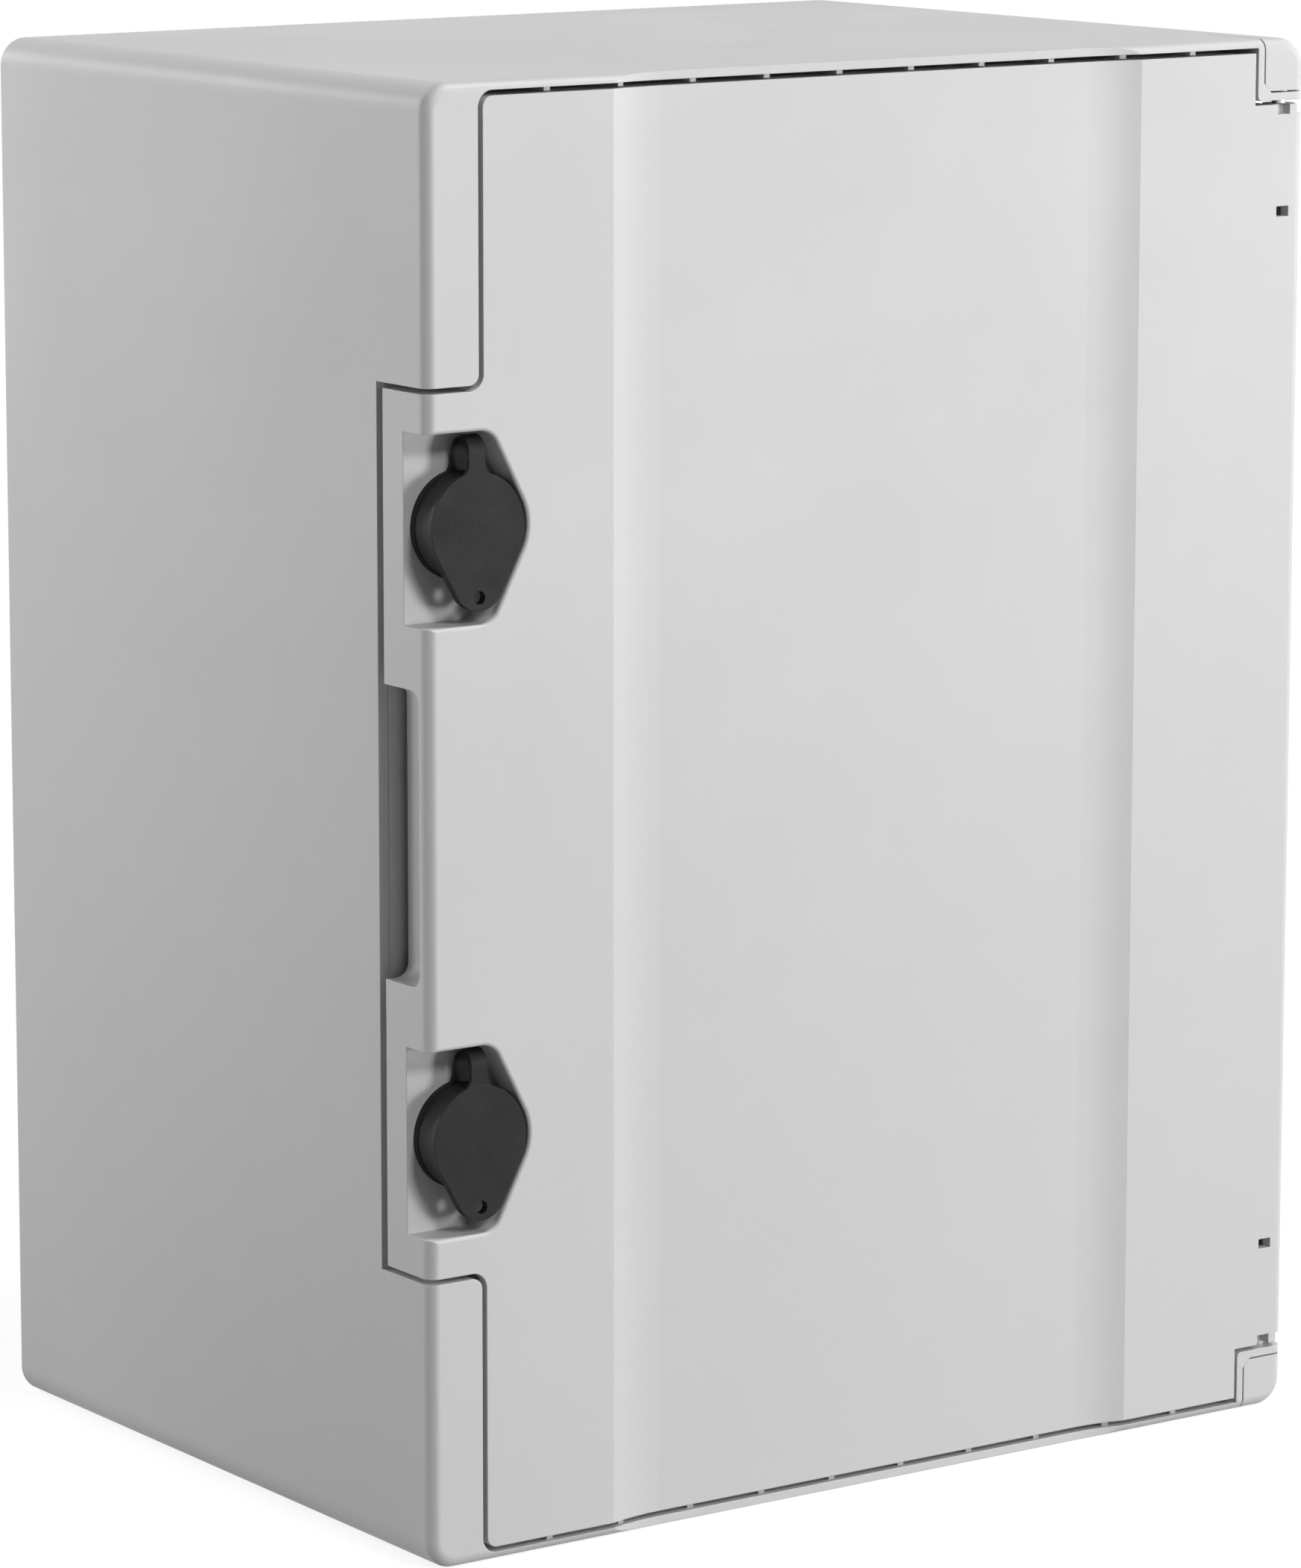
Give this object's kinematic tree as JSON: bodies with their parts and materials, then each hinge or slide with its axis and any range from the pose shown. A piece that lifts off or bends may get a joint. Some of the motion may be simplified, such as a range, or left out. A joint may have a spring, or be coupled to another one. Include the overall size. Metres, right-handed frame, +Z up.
{
  "type": "electrical enclosure",
  "caption": "Wall-mounting plastic electrical enclosure with a hinged wrap-round door, quarter-turn locks under dust covers and an inner mounting plate.",
  "frame": {"origin": "centre of the footprint of the closed enclosure, on its underside", "axes": "+Z up, +Y from the front to the back, +X to the right as seen from the front"},
  "size_m": [0.3, 0.2214, 0.4],
  "materials": {
    "housing_plastic": "fine moulded grain, light grey",
    "lock_plastic": "fine moulded grain, near black",
    "plated_steel": "zinc plated",
    "earth_brass": "brass",
    "gasket_foam": "foamed sealing strip"
  },
  "bodies": {
    "box": {"base_shell": "housing_plastic", "sealing_frame": "housing_plastic", "hinge_cap_top": "housing_plastic", "hinge_cap_bottom": "housing_plastic", "hinge_pin_top": "plated_steel", "hinge_pin_bottom": "plated_steel", "mounting_plate": "plated_steel", "plate_screws": "plated_steel", "earth_stud": "earth_brass", "earth_washer": "plated_steel", "earth_nut": "earth_brass"},
    "door": {"door_shell": "housing_plastic", "door_gasket": "gasket_foam", "lock_housing_upper": "lock_plastic", "lock_housing_lower": "lock_plastic", "lock_nut_upper": "lock_plastic", "lock_nut_lower": "lock_plastic", "cover_base_upper": "lock_plastic", "cover_base_lower": "lock_plastic"},
    "upper_lock": {"lock_barrel_upper": "plated_steel", "lock_cam_upper": "plated_steel", "cam_screw_upper": "plated_steel"},
    "lower_lock": {"lock_barrel_lower": "plated_steel", "lock_cam_lower": "plated_steel", "cam_screw_lower": "plated_steel"},
    "upper_cover": {"lock_cover_upper": "lock_plastic"},
    "lower_cover": {"lock_cover_lower": "lock_plastic"}
  },
  "joints": [
    {"name": "door_swing", "type": "hinge", "parent": "box", "child": "door", "pos_m": [0.1446, -0.10555, 0.2], "axis": [0, 0, 1], "range_deg": [0, 180]},
    {"name": "upper_lock_turn", "type": "hinge", "parent": "door", "child": "upper_lock", "pos_m": [-0.1331, -0.09, 0.2826], "axis": [0, 1, 0], "range_deg": [0, 90]},
    {"name": "lower_lock_turn", "type": "hinge", "parent": "door", "child": "lower_lock", "pos_m": [-0.1331, -0.09, 0.1174], "axis": [0, 1, 0], "range_deg": [0, 90]},
    {"name": "upper_cover_flip", "type": "hinge", "parent": "door", "child": "upper_cover", "pos_m": [-0.1331, -0.10525, 0.3026], "axis": [-1, 0, 0], "range_deg": [0, 90]},
    {"name": "lower_cover_flip", "type": "hinge", "parent": "door", "child": "lower_cover", "pos_m": [-0.1331, -0.10525, 0.1374], "axis": [-1, 0, 0], "range_deg": [0, 90]}
  ]
}
